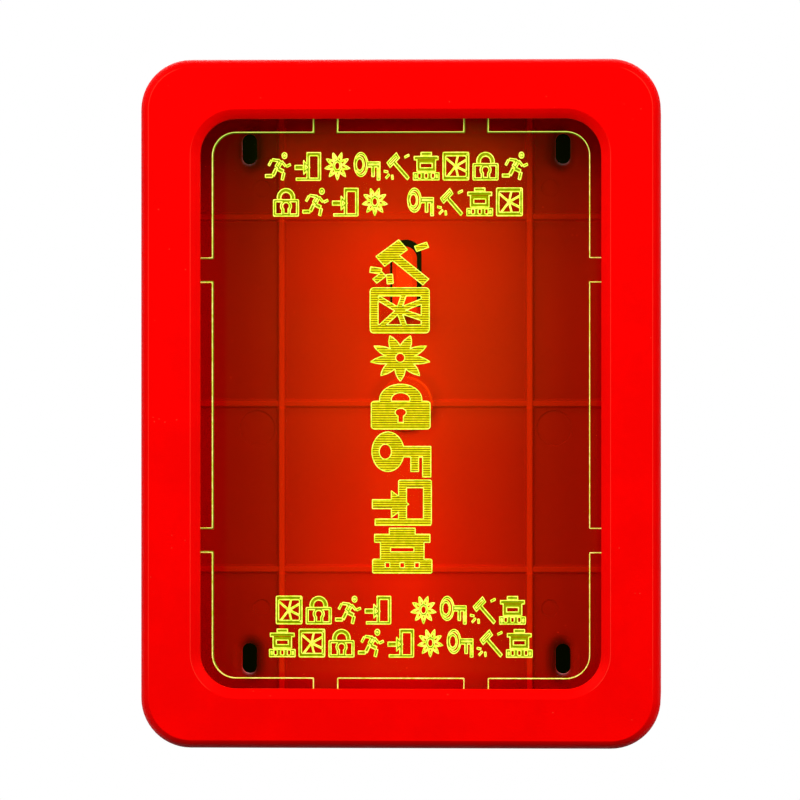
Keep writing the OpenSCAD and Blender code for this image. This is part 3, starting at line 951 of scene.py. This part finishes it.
class KEYBOX_OT_signs(bpy.types.Operator):
    """Engraves a column of large hatched signs down the middle of the panel"""

    bl_idname = "keybox.signs"
    bl_label = "Engraved signs"

    def execute(self, context):
        look = context.scene.key_box_acrylic
        cuts = context.scene.key_box_engraving
        outlines, grounds, bars = [], [], []
        for n, draw in enumerate(SIGNS):
            field, xs, ys = field_of(draw, cuts.sign_w, cuts.sign_h, cuts.step, cuts.sign_growth)
            across = cuts.sign_lean * (n - len(SIGNS) // 2)
            height = cuts.sign_top - n * cuts.sign_pitch
            outlines += moved(trace(field, xs, ys, level=-cuts.line_radius), across, height)
            inner = trace(field, xs, ys, level=-PLATE_DEPTH * cuts.line_radius)
            grounds += moved(inner, across, height)
            rows = hatch_bars(field, xs, ys, cuts.hatch_pitch, 2 * cuts.line_radius)
            bars += [(left + across, right + across, z + height) for left, right, z in rows]
        depth = line_depth(cuts)
        line_piece("sign_outlines", outlines, depth, cuts.line_radius, line_look(look))
        hatch = glowing("engraved_fill", look.hatch_colour, look.hatch_glow, look)
        bar_piece("sign_hatching", bars, depth, cuts.hatch_height, cuts.line_radius, hatch)
        ground_piece("sign_grounds", grounds, "engraved_ground", look.ground_colour, look, cuts)
        return {"FINISHED"}


def line_depth(cuts):
    """How far off the wall the engraved lines lie, just inside the sheet's front."""
    return PANEL_LOW.y + LINE_DEPTH * cuts.line_radius


def ground_piece(name, loops, finish_name, colour, look, cuts):
    """The plate behind a set of signs, which glows in the lines' colour when seen from the rear."""
    made = glowing(finish_name, colour, look.ground_glow, look, rear_colour=look.line_colour)
    depth = line_depth(cuts) + PLATE_DEPTH * cuts.line_radius
    return line_piece(name, loops, depth, 0.0, made, cuts.line_radius, filled=True)


def line_look(look):
    """The engraved lines' material, made once."""
    made = bpy.data.materials.get("engraved_line")
    return made or glowing("engraved_line", look.line_colour, look.line_glow, look)


class KEYBOX_OT_marks(bpy.types.Operator):
    """Engraves two rows of small signs above the column and two below it"""

    bl_idname = "keybox.marks"
    bl_label = "Engraved rows"

    def execute(self, context):
        look = context.scene.key_box_acrylic
        cuts = context.scene.key_box_engraving
        found = []
        for draw in ROW_SIGNS:
            field, xs, ys = field_of(draw, cuts.mark_w, cuts.mark_h, cuts.step, cuts.mark_growth)
            field = cut(field, field + cuts.mark_stroke)
            levels = (-cuts.line_radius, -PLATE_DEPTH * cuts.line_radius)
            found.append([trace(field, xs, ys, level=level) for level in levels])
        outlines, grounds = [], []
        for height, middle, places, first in ROWS:
            for n, share in enumerate(places):
                outline, ground = found[(first + ROW_STRIDE * n) % len(ROW_SIGNS)]
                across = middle + share * cuts.mark_pitch
                outlines += moved(outline, across, height)
                grounds += moved(ground, across, height)
        line_piece("small_signs", outlines, line_depth(cuts), cuts.line_radius, line_look(look))
        ground_piece("small_sign_grounds", grounds, "row_ground", look.row_colour, look, cuts)
        return {"FINISHED"}


class KEYBOX_OT_stage(bpy.types.Operator):
    """Sets the pale floor, the white surround, the soft lamps and the camera"""

    bl_idname = "keybox.stage"
    bl_label = "Stage"

    def execute(self, context):
        scene = context.scene
        look = scene.key_box_stage
        scene.view_settings.view_transform = "Standard"
        make_floor(look)
        make_wall_shade(look)
        make_world(scene, look)
        middle = Vector((0, CAD_LOW.y, 0))
        make_lamp("lamp_left", -look.lamp_turn, middle, look, 1.0)
        make_lamp("lamp_right", look.lamp_turn, middle, look, 1.0)
        make_lamp("lamp_behind", math.pi, middle, look, look.behind_share)
        make_camera(scene, look)
        return {"FINISHED"}


def seen(tree):
    """1 for rays that show the surround itself: camera, mirror and glass rays."""
    rays = [
        tree.add("ShaderNodeLightPath", output=kind)
        for kind in ("Is Camera Ray", "Is Glossy Ray", "Is Transmission Ray")
    ]
    return rays[0].at_least(rays[1]).at_least(rays[2])


def make_world(scene, look):
    world = bpy.data.worlds.new("white_surround")
    world.use_nodes = True
    scene.world = world
    tree = Socket(world.node_tree)
    background = world.node_tree.nodes["Background"]
    level = seen(tree) * (1.0 - look.sky) + look.sky
    world.node_tree.links.new(level.link, background.inputs["Strength"])
    background.inputs["Color"].default_value = rgba(WHITE)


def stage_sheet(name, corners, made):
    """One flat face of the stage, which is no part of the object."""
    mesh = bpy.data.meshes.new(name)
    mesh.from_pydata(corners, [], [range(len(corners))])
    mesh.materials.append(made)
    sheet = bpy.data.objects.new(name, mesh)
    bpy.context.scene.collection.objects.link(sheet)


def mix_shaders(made, tree, share, first, second):
    """Gives the material a mix of two shaders: the first where the share is 0."""
    mixed = tree.add("ShaderNodeMixShader", inputs={0: share, 1: first, 2: second})
    tree.tree.links.new(mixed.link, made.node_tree.nodes["Material Output"].inputs["Surface"])


def make_floor(look):
    """A wide pale floor that fades into the white surround."""
    made, tree = new_material("pale_floor")
    _, (x, y, _) = place(tree)
    shows = seen(tree)
    ground = shows.mix(look.floor_bounce, look.floor_colour)
    matt = tree.add("ShaderNodeBsdfDiffuse", inputs={"Color": ground})
    white = tree.add("ShaderNodeEmission", inputs={"Strength": 1.0})
    share = (x * x + y * y).root().fade(*FLOOR_FADE) * shows
    mix_shaders(made, tree, share, matt, white)
    half, height = FLOOR_HALF, CAD_LOW.z - look.floor_drop
    corners = [(-half, -half), (half, -half), (half, half), (-half, half)]
    stage_sheet("floor", [(x, y, height) for x, y in corners], made)


def make_wall_shade(look):
    """A dark sheet just behind the tray that paints the shade seen through the tray's holes, and shows
    only through them.

    Lamps shine through it, and so does the view from behind. Its corners are cut off, so that it
    stays behind the box's round corners."""
    made, tree = new_material("hole_shade")
    front = 1.0 - tree.add("ShaderNodeNewGeometry", output="Backfacing")
    clear = tree.add("ShaderNodeBsdfTransparent")
    dark = tree.add("ShaderNodeBsdfDiffuse", inputs={"Color": rgba(look.shade_colour)})
    mix_shaders(made, tree, front * seen(tree), clear, dark)
    half_w, half_h = CAD_HIGH.x - look.shade_inset, CAD_HIGH.z - look.shade_inset
    short_w, short_h = half_w - BOX_CORNER, half_h - BOX_CORNER
    lower = [(-half_w, -short_h), (-short_w, -half_h), (short_w, -half_h), (half_w, -short_h)]
    outline = lower + [(-x, -z) for x, z in lower]
    stage_sheet("wall_shade", [(x, look.shade_gap, z) for x, z in outline], made)


def make_lamp(name, turn, target, look, share):
    lamp = bpy.data.lights.new(name, "AREA")
    lamp.energy = look.lamp_power * share
    lamp.shape = "RECTANGLE"
    lamp.size = look.lamp_size
    lamp.size_y = look.lamp_height
    made = bpy.data.objects.new(name, lamp)
    bpy.context.scene.collection.objects.link(made)
    level = math.cos(look.lamp_lift)
    away = Vector((math.sin(turn) * level, -math.cos(turn) * level, math.sin(look.lamp_lift)))
    made.location = target + away * look.lamp_distance
    made.rotation_euler = away.to_track_quat("Z", "Y").to_euler()


def make_camera(scene, look):
    camera = bpy.data.cameras.new("camera")
    camera.sensor_width = 36.0
    camera.lens = camera.sensor_width * look.camera_distance / look.view_width
    made = bpy.data.objects.new("camera", camera)
    scene.collection.objects.link(made)
    away = Vector((math.sin(look.camera_turn), -math.cos(look.camera_turn), 0))
    made.location = Vector((0, CAD_LOW.y, look.camera_raise)) + away * look.camera_distance
    made.rotation_euler = away.to_track_quat("Z", "Y").to_euler()
    scene.camera = made


class KEYBOX_PT_panel(bpy.types.Panel):
    """Lists the key box's settings and steps"""

    bl_label = "Key Box"
    bl_idname = "KEYBOX_PT_panel"
    bl_space_type = "VIEW_3D"
    bl_region_type = "UI"
    bl_category = "Key Box"

    def draw(self, context):
        column = self.layout.column()
        for operator, group in STEPS:
            column.operator(operator)
            settings = getattr(context.scene, group)
            for name in settings.bl_rna.properties.keys():
                if name not in ("rna_type", "name"):
                    column.prop(settings, name)


STEPS = [
    ("keybox.stage", "key_box_stage"),
    ("keybox.plastic", "key_box_plastic"),
    ("keybox.panel", "key_box_acrylic"),
    ("keybox.signs", "key_box_engraving"),
    ("keybox.marks", "key_box_engraving"),
]
GROUPS = {
    "key_box_stage": KeyBoxStage,
    "key_box_plastic": KeyBoxPlastic,
    "key_box_acrylic": KeyBoxAcrylic,
    "key_box_engraving": KeyBoxEngraving,
}
CLASSES = (
    *GROUPS.values(),
    KEYBOX_OT_plastic,
    KEYBOX_OT_panel,
    KEYBOX_OT_signs,
    KEYBOX_OT_marks,
    KEYBOX_OT_stage,
    KEYBOX_PT_panel,
)


def register():
    for made in CLASSES:
        bpy.utils.register_class(made)
    for name, group in GROUPS.items():
        setattr(bpy.types.Scene, name, PointerProperty(type=group))


def unregister():
    for name in GROUPS:
        delattr(bpy.types.Scene, name)
    for made in reversed(CLASSES):
        bpy.utils.unregister_class(made)


def main():
    register()
    for operator, _ in STEPS:
        family, name = operator.split(".")
        getattr(getattr(bpy.ops, family), name)()


if __name__ == "__main__":
    main()
